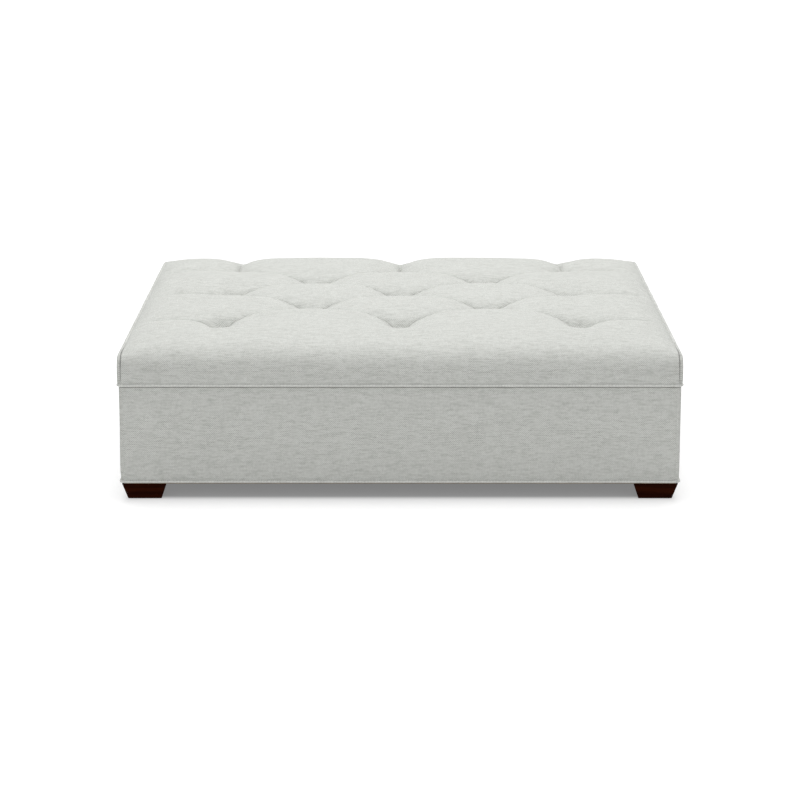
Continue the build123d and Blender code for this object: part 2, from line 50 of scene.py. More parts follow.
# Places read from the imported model
top_low, top_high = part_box("lid_top_panel")
side_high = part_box("lid_side_panel_right")[1]
base_low, base_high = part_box("base_right_panel")
lid_welt_low, lid_welt_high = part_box("lid_welt")
base_welt_low, base_welt_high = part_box("base_welt")
lining_low, lining_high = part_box("storage_lining")
lid_lining_low, lid_lining_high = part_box("lid_lining")
dust_low, dust_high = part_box("dust_cover")
foam_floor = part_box("lid_foam")[0].z
hinge_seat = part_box("base_hinge_leaves")[0].z
seam_x = top_high.x
half_depth = top_high.y
half_width = side_high.x
seam_level = side_high.z
base_half = base_high.x
pad_top = base_high.z

# In the photograph the lid's hem is lower than in the plain model, and the base's hem and welt are higher
LID_HEM_DROP = 1.6 * MM
HEM_LIFT = 1.8 * MM
lid_hem = top_low.z - LID_HEM_DROP

# Cushion from the side: rolls at front and back, and shoulders that fall from the crest to them
CREST = top_high.z
FRONT_ROLL = 75 * MM
FRONT_DROP = 21 * MM
FRONT_ROLL_EASE = 1.25
BACK_ROLL = 46 * MM
BACK_DROP = 33 * MM
BACK_ROLL_EASE = 1.0
SEAM_ROLL = 33 * MM
SEAM_DROP = 1 * MM
SHOULDER_REACH = 98 * MM
MIDDLE_BLEND = 200 * MM
ROLL_STEPS = 200
CROWN_REACH = 39 * MM
COVER_THICKNESS = 6 * MM

# Hems are drawn in a little, and pleats fade out above them
HEM_TUCK = 1.5 * MM
HEM_TUCK_REACH = 3.5 * MM
HEM_FADE = 12 * MM
UPRIGHT_LEAN = 1.5

# Grid of the cushion's cover, in whole steps from tuft to tuft
TUFT_STEP_ACROSS = 218.5 * MM
TUFT_STEP_DEEP = 177 * MM
GRID_STEPS = 48
GRID_ACROSS = TUFT_STEP_ACROSS / GRID_STEPS
GRID_DEEP = TUFT_STEP_DEEP / GRID_STEPS
FLAT_STEPS = 159
FLAT_ROWS = np.arange(-FLAT_STEPS, FLAT_STEPS + 1) * GRID_DEEP
FLAT_HALF = FLAT_STEPS * GRID_DEEP
EDGE_ROWS = 36
INNER_STEPS = 141
INNER_COLUMNS = np.arange(-INNER_STEPS, INNER_STEPS + 1) * GRID_ACROSS
NEAR_SEAM = np.array([0.0, 0.8, 2.0, 4.0, 7.0]) * MM

# Depths of the tufts, and of the lines of the pleats away from them
TUFT_DEPTH = 36 * MM
TUFT_REACH = 16 * MM
TUFT_PULL = 45 * MM
TWINE_REACH = 8 * MM
PLEAT_DEPTH = 6.4 * MM
PLEAT_CURVE = 1.7
FRONT_PLEAT_DEPTH = 3 * MM
BACK_PLEAT_DEPTH = 17 * MM
BACK_PLEAT_EXTRA = 9 * MM
BACK_EXTRA_START = 90 * MM
BACK_EXTRA_LENGTH = 120 * MM
OUTER_BACK_SHARE = 0.84
SIDE_PLEAT_DEPTH = 14 * MM
SIDE_ROW_SHARE = 0.2
FRONT_PULL_REACH = 19 * MM
LINE_REACH = 0.4 * MM
PILLOW_REACH = 38 * MM
SETTLE_ROUNDS = 700

# Where pleats and folds fade out, as (distance from the tuft, length of the fade)
FRONT_PLEAT_FALL = (-15 * MM, 170 * MM)
FRONT_PLEAT_FADE = (235 * MM, 80 * MM)
FRONT_PULL_FADE = (60 * MM, 70 * MM)
BACK_PLEAT_FADE = (249 * MM, 80 * MM)
SIDE_PLEAT_FADE = (130 * MM, 95 * MM)
ROLL_FOLD_FADE = (235 * MM, 60 * MM)
SIDE_LIP_FADE = (140 * MM, 75 * MM)

# Folds beside a pleat's line: a sharp crease, a soft lip and, at the back, a wide tail
FOLD_FROM = 4 * MM
FOLD_DEPTH = 5 * MM
FOLD_REACH = 2.6 * MM
FOLD_GAIN = 2.2
LIP_DEPTH = 6 * MM
LIP_REACH = 11 * MM
LIP_GAIN = 1.5
LIP_LEAST = 0.25
FRONT_FOLD_SHARE = 0.15
BACK_FOLD_SHARE = 1.15
BACK_TAIL_DEPTH = 2.5 * MM
BACK_TAIL_REACH = 60 * MM

# Ripples across a pleat, and the unevenness of the whole cover
PUCKER_HEIGHT = 0.35 * MM
PUCKER_WAVE = 9 * MM
PUCKER_DRIFT = 23 * MM
PUCKER_REACH = 18 * MM
PUCKER_CLEAR = 5 * MM
COVER_UNEVEN = 0.5 * MM
COVER_UNEVEN_SIZE = 0.16
COVER_UNEVEN_FADE = 0.05

# Grooves at the side seams
SEAM_GROOVE = 2.8 * MM
TOP_GROOVE_SHARE = 0.4
FRONT_GROOVE_SHARE = 1.3
FRONT_GROOVE_REACH = 90 * MM
SEAM_GROOVE_REACH = 2 * MM

# The foam's grid takes every third point of the cover's, and stays clear below it
FOAM_STEP = 3
FOAM_CLEAR = 0.5 * MM
FOAM_LEAST = 0.01 * MM

# Side panels of the lid, with grid lines close together near their edges
SIDE_NEAR_EDGE = np.array([0.0, 0.25, 0.8, 1.6, 2.8, 4.4, 6.5, 9.0, 12.0, 17.0, 24.0]) * MM
SIDE_MIDDLE_COLUMNS = 120
SIDE_LOW_ROWS = 9
SIDE_SET_BACK = 1 * MM
SIDE_BEHIND_SEAM = 0.6 * MM
SIDE_SWELL_REACH = 9 * MM
SIDE_UNEVEN = 0.25 * MM
SIDE_UNEVEN_SIZE = 0.12
SIDE_TUCK_REACH = 2 * MM
ON_EDGE = 0.01 * MM

# Covers of the base. The back one is cut down over the leaves of the three hinges.
BASE_THICKNESS = 5 * MM
BASE_TURN = 3 * MM
BASE_CORNER = 10 * MM
LEAST_CORNER = 1 * MM
BASE_PAD_CROWN = 0.7 * MM
BASE_BEHIND_WELT = 0.6 * MM
BASE_BELOW_SEAT = 0.8 * MM
FLAP_EDGE_WIDTH = 2 * MM
FLAP_EDGE_DROP = 1.5 * MM
WALL_ROWS = 12
TURN_ROWS = 5
BASE_ARC_STEPS = 8
BASE_STRAIGHT_MARKS = 60
NEAR_BASE_END = np.array([0.0, 0.0006, 0.0014, 0.003])
BESIDE_HINGE = np.array([-0.0004, 0.0004])
BASE_GROOVE = 0.9 * MM
BASE_GROOVE_REACH = 2 * MM
BASE_UNEVEN = 0.25 * MM
BASE_UNEVEN_SIZE = 0.14
HINGE_HALF = 38.3 * MM
HINGE_PLACES = (-440 * MM, 0.0, 440 * MM)

# Welts, each with a lapped join at the back
WELT_CORNER = 9 * MM
WELT_ARC_STEPS = 10
WELT_STRAIGHT_STEPS = 110
WELT_RING = 14
WELT_PROUD = 0.7 * MM
WELT_UNEVEN = 0.12 * MM
WELT_UNEVEN_SIZE = 0.05
WELT_JOIN_X = 0.2
WELT_JOIN_HALF = 4 * MM
WELT_JOIN_SWELL = 0.1
BIAS_SHARE = 0.7071
LID_WELT_SHIFT = -1 * MM

# Linings
LOOP_ARC_STEPS = 6
LOOP_STRAIGHT_STEPS = 24
SHEET_HEM = 14 * MM
SHEET_HEM_STEP = 1 * MM
SHEET_RELIEF = 0.3 * MM
SHEET_EDGE = 0.4 * MM
SHEET_CORNER = 4 * MM

# Camera
CAMERA_DISTANCE = 6.808
CAMERA_HEIGHT = 1.620
CAMERA_PITCH_DEGREES = 12.62
CAMERA_LENS_MM = 121.6
CAMERA_SENSOR_MM = 36.0


def smoothstep(t):
    """A smooth step from 0 to 1."""
    t = np.clip(t, 0.0, 1.0)
    return t * t * (3 - 2 * t)


def fade(away, start, length):
    """1 up to start, then smoothly down to 0 over a length."""
    return 1 - smoothstep((away - start) / length)


def rough(u, v, size, seed):
    """Smooth unevenness, mostly between -1 and 1, at the given size and the same on every run."""
    rng = np.random.default_rng(seed)
    total = np.zeros(np.broadcast(u, v).shape)
    waves = 14
    for _ in range(waves):
        angle = rng.uniform(0, 2 * math.pi)
        rate = rng.uniform(0.5, 1.4) * 2 * math.pi / size
        phase = rng.uniform(0, 2 * math.pi)
        total = total + np.sin(rate * (u * math.cos(angle) + v * math.sin(angle)) + phase)
    return total / math.sqrt(waves)


def hem_tuck(z, hem):
    """How far the cloth is drawn in at a level above its hem."""
    return HEM_TUCK * np.exp(-(z - hem) / HEM_TUCK_REACH)


def running_lengths(points):
    """Length along a line of points, from the first one."""
    return np.concatenate([[0], np.cumsum(np.linalg.norm(np.diff(points, axis=0), axis=1))])


# Meshes
def make_piece(name, points, faces, cloth, material, body):
    """A smooth mesh piece with its cloth coordinates in metres, riding on a body."""
    mesh = bpy.data.meshes.new(name)
    mesh.from_pydata([tuple(p) for p in points], [], [tuple(f) for f in faces])
    mesh.update()
    layer = mesh.uv_layers.new(name="cloth")
    index = np.empty(len(mesh.loops), np.int32)
    mesh.loops.foreach_get("vertex_index", index)
    layer.uv.foreach_set("vector", np.asarray(cloth, np.float32)[index].ravel())
    mesh.shade_smooth()
    mesh.set_sharp_from_angle(angle=math.radians(50))
    mesh.materials.append(material)
    piece = bpy.data.objects.new(name, mesh)
    scene.collection.objects.link(piece)
    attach(piece, body)
    return piece


def grid_faces(rows, cols, offset=0, flip=False, heights=None):
    """Faces of a grid of points. With heights, each square is split along its lower diagonal."""
    faces = []
    for i in range(rows - 1):
        for j in range(cols - 1):
            a = offset + i * cols + j
            b, c, d = a + 1, a + cols + 1, a + cols
            if heights is None:
                square = [(a, b, c, d)]
            elif heights[i, j] + heights[i + 1, j + 1] <= heights[i, j + 1] + heights[i + 1, j]:
                square = [(a, b, c), (a, c, d)]
            else:
                square = [(a, b, d), (b, c, d)]
            faces += [face[::-1] for face in square] if flip else square
    return faces


def rim_faces(rows, cols, flip=False):
    """Faces that join the edges of two stacked grids."""
    size = rows * cols
    edge = [(0, j) for j in range(cols - 1)]
    edge += [(i, cols - 1) for i in range(rows - 1)]
    edge += [(rows - 1, j) for j in range(cols - 1, 0, -1)]
    edge += [(i, 0) for i in range(rows - 1, 0, -1)]
    loop = [i * cols + j for i, j in edge]
    faces = []
    for a, b in zip(loop, loop[1:] + loop[:1]):
        face = (b, a, a + size, b + size)
        faces.append(face[::-1] if flip else face)
    return faces


def ring_faces(rings, size, closed=False, flip=False):
    """Faces between rings of points that follow one another, and back to the first one where closed."""
    faces = []
    for i in range(rings if closed else rings - 1):
        here = i * size
        ahead = (i + 1) % rings * size
        for k in range(size):
            beside = (k + 1) % size
            face = (here + k, here + beside, ahead + beside, ahead + k)
            faces.append(face[::-1] if flip else face)
    return faces


def cap_faces(rings, size, flip=False):
    """The two faces that close the first and the last ring."""
    first = tuple(range(size))
    last = tuple(range((rings - 1) * size, rings * size))
    return [first, last[::-1]] if flip else [first[::-1], last]


def shell_piece(name, outer, inner, cloth, material, body, heights=None, flip=False):
    """A closed shell between an outer and an inner grid of points."""
    rows, cols = outer.shape[:2]
    points = np.concatenate([outer.reshape(-1, 3), inner.reshape(-1, 3)])
    faces = grid_faces(rows, cols, 0, flip, heights)
    faces += grid_faces(rows, cols, rows * cols, not flip)
    faces += rim_faces(rows, cols, flip)
    flat_cloth = cloth.reshape(-1, 2)
    return make_piece(name, points, faces, np.concatenate([flat_cloth, flat_cloth]), material, body)


def corner_place(quarter, degrees, centre, radius):
    """A point on a rounded corner of a plan. Quarters run anticlockwise from the +X +Y corner."""
    sign_x, sign_y = ((1, 1), (-1, 1), (-1, -1), (1, -1))[quarter % 4]
    angle = math.radians(degrees)
    x = sign_x * centre[0] + radius * math.cos(angle)
    y = sign_y * centre[1] + radius * math.sin(angle)
    return np.array([x, y])


def corner_loop(half_x, half_y, radius, arc_steps, straight_steps):
    """Points of a rounded rectangle anticlockwise from its right side, and the length along it."""
    centre = (half_x - radius, half_y - radius)
    points = []
    for quarter in range(4):
        for step in range(arc_steps + 1):
            points.append(corner_place(quarter, 90 * quarter + 90 * step / arc_steps, centre, radius))
        start = points[-1]
        end = corner_place(quarter + 1, 90 * (quarter + 1), centre, radius)
        for step in range(1, straight_steps):
            points.append(start + (end - start) * step / straight_steps)
    points = np.array(points)
    return points, running_lengths(points)


# Materials
class Nodes:
    """Short calls for adding linked nodes to a tree."""

    def __init__(self, tree):
        self.tree = tree

    def feed(self, node, inputs):
        """Link each named input to a socket, or set it to a value."""
        for key, value in inputs.items():
            if isinstance(value, bpy.types.NodeSocket):
                self.tree.links.new(value, node.inputs[key])
            else:
                node.inputs[key].default_value = value

    def add(self, kind, inputs, **settings):
        node = self.tree.nodes.new(kind)
        for key, value in settings.items():
            setattr(node, key, value)
        self.feed(node, inputs)
        return node

    def math(self, operation, a, b=0.0, c=0.0):
        return self.add("ShaderNodeMath", {0: a, 1: b, 2: c}, operation=operation).outputs[0]

    def scaled(self, value, gain, base):
        return self.math("MULTIPLY_ADD", value, gain, base)

    def noise(self, vector, scale, detail=2.0, roughness=0.5):
        inputs = {"Vector": vector, "Scale": scale, "Detail": detail, "Roughness": roughness}
        return self.add("ShaderNodeTexNoise", inputs).outputs["Fac"]

    def stretch(self, vector, x, y, z=1.0):
        inputs = {0: vector, 1: (x, y, z)}
        return self.add("ShaderNodeVectorMath", inputs, operation="MULTIPLY").outputs[0]

    def dimmed(self, colour, factor):
        inputs = {0: colour, "Scale": factor}
        return self.add("ShaderNodeVectorMath", inputs, operation="SCALE").outputs[0]

    def ramp(self, value, low, high, low_result=0.0, high_result=1.0, **settings):
        inputs = {"Value": value, "From Min": low, "From Max": high}
        inputs.update({"To Min": low_result, "To Max": high_result})
        return self.add("ShaderNodeMapRange", inputs, **settings).outputs["Result"]

    def mix(self, factor, a, b):
        a, b = (value if isinstance(value, bpy.types.NodeSocket) else (*value, 1.0) for value in (a, b))
        return self.add("ShaderNodeMix", {0: factor, 6: a, 7: b}, data_type="RGBA").outputs[2]

    def separated(self, vector):
        return self.add("ShaderNodeSeparateXYZ", {0: vector}).outputs

    def object_place(self):
        return self.add("ShaderNodeTexCoord", {}).outputs["Object"]

    def seen_directly(self):
        path = self.add("ShaderNodeLightPath", {}).outputs
        return self.math("MAXIMUM", path["Is Camera Ray"], path["Is Glossy Ray"])

    def bump(self, height, strength, distance):
        inputs = {"Height": height, "Strength": strength, "Distance": distance}
        return self.add("ShaderNodeBump", inputs).outputs[0]


def new_material(name):
    """A material with its nodes and its Principled shader."""
    material = bpy.data.materials.new(name)
    material.use_nodes = True
    return material, Nodes(material.node_tree), material.node_tree.nodes["Principled BSDF"]


def new_group(name, inputs):
    """A shader node group that gives a colour and a height, with its inner inputs and output node."""
    group = bpy.data.node_groups.new(name, "ShaderNodeTree")
    for label, kind, value in inputs:
        socket = group.interface.new_socket(name=label, in_out="INPUT", socket_type=kind)
        if value is not None:
            socket.default_value = value
    for label, kind in (("Color", "NodeSocketColor"), ("Height", "NodeSocketFloat")):
        group.interface.new_socket(name=label, in_out="OUTPUT", socket_type=kind)
    nodes = Nodes(group)
    return group, nodes, nodes.add("NodeGroupInput", {}).outputs, nodes.add("NodeGroupOutput", {})


def weave_group():
    """Basket weave with heathered yarns and slubs that run along the cloth's width."""
    group, n, given, out = new_group(
        "basket_weave",
        [
            ("Cloth", "NodeSocketVector", None),
            ("Yarn Pitch", "NodeSocketFloat", 0.003),
            ("Light Yarn", "NodeSocketColor", (0.7, 0.7, 0.67, 1)),
            ("Dark Yarn", "NodeSocketColor", (0.5, 0.5, 0.47, 1)),
            ("Slub", "NodeSocketFloat", 0.5),
        ],
    )
    cloth = given["Cloth"]
    parts = n.separated(cloth)
    # Yarns wander a little, so that no row is quite straight
    wander = n.noise(cloth, 60.0, 1.0)
    across = n.math("DIVIDE", parts[0], given["Yarn Pitch"])
    across = n.math("ADD", across, n.math("MULTIPLY", wander, 0.3))
    along = n.math("DIVIDE", parts[1], given["Yarn Pitch"])
    along = n.math("ADD", along, n.math("MULTIPLY", wander, 0.25))
    cell_a = n.math("FLOOR", across)
    cell_b = n.math("FLOOR", along)
    # Warp shows in one cell and weft in the next, each a round yarn that dips at its ends
    checker = n.math("FLOORED_MODULO", n.math("ADD", cell_a, cell_b), 2.0)
    round_a = n.math("SINE", n.math("MULTIPLY", n.math("FRACT", across), math.pi))
    round_b = n.math("SINE", n.math("MULTIPLY", n.math("FRACT", along), math.pi))
    warp = n.math("MULTIPLY", n.math("POWER", round_a, 0.6), n.scaled(round_b, 0.5, 0.5))
    weft = n.math("MULTIPLY", n.math("POWER", round_b, 0.6), n.scaled(round_a, 0.5, 0.5))
    warp_part = n.math("MULTIPLY", warp, checker)
    weft_part = n.math("MULTIPLY", weft, n.math("SUBTRACT", 1.0, checker))
    height = n.math("ADD", warp_part, weft_part)
    # The tone drifts slowly along a yarn, and jumps from each yarn to the next
    yarn_jump = 2.7
    warp_jump = n.math("MULTIPLY", cell_a, yarn_jump)
    weft_jump = n.math("MULTIPLY", cell_b, yarn_jump)
    warp_drift = n.math("MULTIPLY", along, 0.09)
    weft_drift = n.math("MULTIPLY", across, 0.085)
    warp_place = n.add("ShaderNodeCombineXYZ", {0: warp_jump, 1: warp_drift, 2: 3.1})
    weft_place = n.add("ShaderNodeCombineXYZ", {0: weft_drift, 1: weft_jump, 2: 7.7})
    warp_tone = n.noise(warp_place.outputs[0], 1.37, 2.0, 0.6)
    weft_tone = n.noise(weft_place.outputs[0], 1.37, 3.0, 0.65)
    warp_level = n.scaled(n.ramp(warp_tone, 0.25, 0.75), 0.5, 0.33)
    weft_level = n.ramp(weft_tone, 0.31, 0.69)
    warp_share = n.scaled(checker, 0.5, 0.08)
    tone = n.scaled(n.math("SUBTRACT", warp_level, weft_level), warp_share, weft_level)
    mixed = n.mix(tone, given["Dark Yarn"], given["Light Yarn"])
    # Slubs are dark and stand out, and the gaps between yarns lie in shade
    slub = n.math("MULTIPLY", n.ramp(weft_tone, 0.60, 0.72), given["Slub"])
    slubbed = n.mix(slub, mixed, given["Dark Yarn"])
    fibre = n.noise(n.stretch(cloth, 500.0, 900.0), 1.0, 2.0)
    gap_shade = n.scaled(n.ramp(height, 0.0, 0.45), 0.22, 0.78)
    shade = n.math("MULTIPLY", gap_shade, n.scaled(fibre, 0.10, 0.95))
    shade = n.math("MULTIPLY", shade, n.scaled(checker, 0.26, 0.87))
    raised = n.math("ADD", height, n.math("MULTIPLY", slub, 0.5))
    raised = n.math("ADD", raised, n.math("MULTIPLY", fibre, 0.25))
    n.feed(out, {"Color": n.dimmed(slubbed, shade), "Height": raised})
    return group


def grain_group():
    """Straight wood grain along X of the given place, with pores."""
    group, n, given, out = new_group(
        "wood_grain",
        [
            ("Place", "NodeSocketVector", None),
            ("Early Wood", "NodeSocketColor", (0.6, 0.4, 0.2, 1)),
            ("Late Wood", "NodeSocketColor", (0.4, 0.25, 0.1, 1)),
            ("Pores", "NodeSocketFloat", 0.5),
        ],
    )
    place = given["Place"]
    bend = n.noise(n.stretch(place, 3.0, 9.0, 9.0), 1.0, 2.0)
    parts = n.separated(place)
    ring = n.math("ADD", n.math("MULTIPLY", parts[1], 60.0), n.math("MULTIPLY", parts[2], 95.0))
    ring = n.math("SINE", n.scaled(bend, 16.0, n.math("MULTIPLY", ring, 3.0)))
    streak = n.noise(n.stretch(place, 16.0, 420.0, 420.0), 1.0, 3.0, 0.6)
    pore = n.ramp(n.noise(n.stretch(place, 45.0, 1400.0, 1400.0), 1.0, 1.0), 0.62, 0.72)
    late = n.scaled(ring, 0.22, streak)
    mixed = n.mix(n.ramp(late, 0.25, 0.85), given["Early Wood"], given["Late Wood"])
    pored = n.mix(n.math("MULTIPLY", pore, given["Pores"]), mixed, (0.012, 0.008, 0.006))
    n.feed(out, {"Color": pored, "Height": n.math("SUBTRACT", streak, pore)})
    return group


weave = weave_group()
grain = grain_group()


def woven_material(name, pitch, light, dark, slub, bump, sheen):
    """Upholstery or lining cloth."""
    material, n, shader = new_material(name)
    place = n.add("ShaderNodeUVMap", {}, uv_map="cloth").outputs[0]
    inputs = {"Cloth": place, "Yarn Pitch": pitch, "Slub": slub}
    inputs.update({"Light Yarn": (*light, 1), "Dark Yarn": (*dark, 1)})
    woven = n.add("ShaderNodeGroup", inputs, node_tree=weave).outputs
    cloud = n.noise(place, 6.0, 3.0)
    n.feed(shader, {
        "Base Color": n.dimmed(woven["Color"], n.scaled(cloud, 0.06, 0.97)),
        "Roughness": n.scaled(cloud, 0.1, 0.85),
        "Sheen Weight": sheen,
        "Sheen Roughness": 0.5,
        "Specular IOR Level": 0.2,
        "Normal": n.bump(woven["Height"], 0.6, bump),
    })
    return material


def wood_material(name, early, late, pores, roughness, shine=0.4, turn=(0, 0, 0)):
    """Timber with its grain along X, or turned."""
    material, n, shader = new_material(name)
    mapping = n.add("ShaderNodeMapping", {"Vector": n.object_place(), "Rotation": turn})
    inputs = {"Place": mapping.outputs[0], "Pores": pores}
    inputs.update({"Early Wood": (*early, 1), "Late Wood": (*late, 1)})
    grained = n.add("ShaderNodeGroup", inputs, node_tree=grain).outputs
    n.feed(shader, {
        "Base Color": grained["Color"],
        "Roughness": n.scaled(grained["Height"], 0.12, roughness),
        "Specular IOR Level": shine,
        "Normal": n.bump(grained["Height"], 0.25, 0.3 * MM),
    })
    return material


def metal_material(name, colour, roughness, brushed):
    """Plated or bright steel with fine marks."""
    material, n, shader = new_material(name)
    place = n.object_place()
    marks = n.noise(n.stretch(place, 90.0, 2600.0, 2600.0), 1.0, 3.0)
    cloud = n.noise(place, 160.0, 3.0)
    n.feed(shader, {
        "Base Color": n.mix(cloud, tuple(0.78 * c for c in colour), colour),
        "Metallic": 1.0,
        "Roughness": n.scaled(marks, brushed, roughness),
        "Normal": n.bump(marks, 0.15, 0.1 * MM),
    })
    return material


def moulded_material(name, colour, roughness, speckle):
    """Plastic, rubber or foam with a fine uneven skin."""
    material, n, shader = new_material(name)
    place = n.object_place()
    skin = n.noise(place, 1500.0, 2.0)
    cloud = n.noise(place, 30.0, 3.0)
    n.feed(shader, {
        "Base Color": n.mix(cloud, tuple(0.85 * c for c in colour), colour),
        "Roughness": n.scaled(skin, 0.15, roughness),
        "Normal": n.bump(skin, speckle, 0.2 * MM),
    })
    return material


cover_cloth = woven_material(
    "cover_cloth", pitch=2.44 * MM, light=(0.605, 0.615, 0.588), dark=(0.355, 0.36, 0.338),
    slub=0.6, bump=0.35 * MM, sheen=0.04,
)
# The piping's cloth is the cover cloth painted lighter: painted light for the cords' upper faces, which
# catch the lamps
welt_cloth_painted_light = woven_material(
    "welt_cloth_painted_light", pitch=2.44 * MM, light=(0.675, 0.685, 0.655), dark=(0.45, 0.46, 0.435),
    slub=0.4, bump=0.35 * MM, sheen=0.04,
)
lining_cloth = woven_material(
    "lining_cloth", pitch=1.1 * MM, light=(0.50, 0.48, 0.44), dark=(0.40, 0.385, 0.35),
    slub=0.1, bump=0.12 * MM, sheen=0.05,
)
dust_cloth = woven_material(
    "dust_cloth", pitch=0.9 * MM, light=(0.028, 0.028, 0.030), dark=(0.016, 0.016, 0.017),
    slub=0.1, bump=0.1 * MM, sheen=0.0,
)
foot_wood = wood_material(
    "espresso_wood", early=(0.026, 0.0045, 0.0012), late=(0.0105, 0.0018, 0.0006),
    pores=0.4, roughness=0.5, shine=0.012,
)
softwood = {"early": (0.62, 0.44, 0.25), "late": (0.47, 0.29, 0.14), "pores": 0.1, "roughness": 0.62}
timber = wood_material("softwood", **softwood)
timber_side = wood_material("softwood_side", **softwood, turn=(0, 0, math.pi / 2))
plywood = wood_material(
    "plywood", early=(0.66, 0.50, 0.31), late=(0.54, 0.38, 0.21), pores=0.25, roughness=0.6
)
zinc = metal_material("zinc_plate", (0.62, 0.61, 0.57), roughness=0.32, brushed=0.2)
bright_steel = metal_material("bright_steel", (0.60, 0.60, 0.60), roughness=0.16, brushed=0.12)
black_paint = moulded_material("black_paint", (0.022, 0.022, 0.024), roughness=0.36, speckle=0.1)
nylon = moulded_material("white_nylon", (0.72, 0.72, 0.70), roughness=0.45, speckle=0.2)
bumper_rubber = moulded_material("bumper_rubber", (0.60, 0.60, 0.57), roughness=0.35, speckle=0.1)
foam_stuff = moulded_material("foam", (0.80, 0.76, 0.62), roughness=0.9, speckle=0.8)
twine_stuff = moulded_material("twine", (0.70, 0.66, 0.56), roughness=0.8, speckle=0.6)

# Hardware that isn't named here is zinc plated, and the soft nodes are stood for by pieces below
nodes_made_of = (
    (timber, ("front_rail", "back_rail", "corner_blocks", "rail_bearers", "cross_bearers")),
    (timber_side, ("left_rail", "right_rail")),
    (plywood, ("floor_panel", "lid_board")),
    (foot_wood, ("foot_front_left", "foot_front_right", "foot_back_left", "foot_back_right")),
    (nylon, ("foot_glides", "tuft_washers")),
    (twine_stuff, ("tuft_twines",)),
    (bumper_rubber, ("lid_bumpers",)),
    (black_paint, ("strut_tube_left", "strut_tube_right")),
    (bright_steel, ("strut_rod_left", "strut_rod_right")),
)
node_materials = {name: material for material, names in nodes_made_of for name in names}
for name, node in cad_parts.items():
    node.data.materials.clear()
    node.data.materials.append(node_materials.get(name, zinc))


# Form of the cushion
def crown_share(x):
    """How far the top has risen at x, from 0 at a side seam to 1 inside."""
    return 1 - np.exp(-(seam_x - np.abs(x)) / CROWN_REACH)


def seam_groove(pull, y):
    """How far a side seam is drawn in, where pull is 0 on the level top and 1 on the upright face."""
    near_front = np.exp(-(half_depth + y) / FRONT_GROOVE_REACH)
    level = TOP_GROOVE_SHARE + FRONT_GROOVE_SHARE * near_front
    upright = np.sqrt(np.abs(pull))
    return SEAM_GROOVE * (level * (1 - upright) + upright)


def summed(rates, step):
    """Running total of a rate that is known at equal steps."""
    return np.concatenate([[0], np.cumsum((rates[1:] + rates[:-1]) / 2 * step)])


def half_profile(share, roll, drop, ease):
    """One half of the cushion's side view, where the top has risen by a share.

    It gives (y, z, lean) of the flat rows, and (y, z, lean, length) of the rows from there down to the hem.
    """
    roll = SEAM_ROLL + share * (roll - SEAM_ROLL)
    drop = SEAM_DROP + share * (drop - SEAM_DROP)
    ease = 1 + share * (ease - 1)
    top = seam_level + share * (CREST - seam_level)
    # The roll turns from the shoulder's slope to upright, slowly at first where ease is over 1
    start = math.atan(drop / SHOULDER_REACH)
    turn = math.pi / 2 - start
    roll_length = roll * turn
    steps = np.linspace(0, 1, ROLL_STEPS)
    leans = start + turn * steps**ease
    forth = summed(np.cos(leans), roll_length / (ROLL_STEPS - 1))
    down = summed(np.sin(leans), roll_length / (ROLL_STEPS - 1))
    shoulder_y = half_depth - forth[-1]
    shoulder_z = top - drop
    inner = min(shoulder_y, FLAT_HALF)
    flat_length = shoulder_y - inner
    whole_length = flat_length + roll_length + shoulder_z - down[-1] - lid_hem
    far = np.linspace(0, whole_length, EDGE_ROWS + 1)[1:]
    turned = np.clip((far - flat_length) / roll_length, 0, 1)
    on_flat = far <= flat_length
    flat_y = np.minimum(inner + far, shoulder_y)
    flat_z = top - drop * np.exp((flat_y - shoulder_y) / SHOULDER_REACH)
    y = np.where(on_flat, flat_y, shoulder_y + np.interp(turned, steps, forth))
    z = np.where(on_flat, flat_z, shoulder_z - np.interp(turned, steps, down))
    z = z - np.maximum(far - flat_length - roll_length, 0)
    near_y = np.clip(np.abs(FLAT_ROWS), 0, inner)
    sunk = drop * np.exp((near_y - shoulder_y) / SHOULDER_REACH)
    flat_rows = (near_y, top - sunk, np.arctan(sunk / SHOULDER_REACH))
    return flat_rows, (y, z, start + turn * turned**ease, inner + far)


def lid_profile(x):
    """Side view of the cushion at x as (y, z, outward lean, length), from the front hem to the back hem."""
    share = crown_share(x)
    front_flat, front_edge = half_profile(share, FRONT_ROLL, FRONT_DROP, FRONT_ROLL_EASE)
    back_flat, back_edge = half_profile(share, BACK_ROLL, BACK_DROP, BACK_ROLL_EASE)
    # The two halves meet smoothly across the middle
    at_front = FLAT_ROWS < 0
    blend = smoothstep(0.5 + FLAT_ROWS / MIDDLE_BLEND)
    flat_y = np.where(at_front, -front_flat[0], back_flat[0])
    flat_z = front_flat[1] * (1 - blend) + back_flat[1] * blend
    flat_lean = np.where(at_front, -front_flat[2], back_flat[2])
    middle = (flat_y, flat_z, flat_lean, flat_y)
    # The front half is a mirrored one: all but its height changes sign
    signs = (-1, 1, -1, -1)
    parts = zip(signs, front_edge, middle, back_edge)
    return [np.concatenate([sign * front[::-1], flat, back]) for sign, front, flat, back in parts]


def tuft_segments():
    """Each pleat as (start, end, kind): between tufts, over the front or back roll, or to a side seam."""
    step_x, step_y = TUFT_STEP_ACROSS, TUFT_STEP_DEEP
    pleat_end = FLAT_HALF + EDGE_ROWS * GRID_DEEP
    segments = []
    for i, j, di, dj in itertools.product((-1, 1), repeat=4):
        end = ((i + di) * step_x, (j + dj) * step_y)
        segments.append(((i * step_x, j * step_y), end, "between"))
    for k in (-2, 0, 2):
        for side, kind in ((-1, "front"), (1, "back")):
            segments.append(((k * step_x, 2 * side * step_y), (k * step_x, side * pleat_end), kind))
            segments.append(((2 * side * step_x, k * step_y), (side * seam_x, k * step_y), "side"))
    return segments


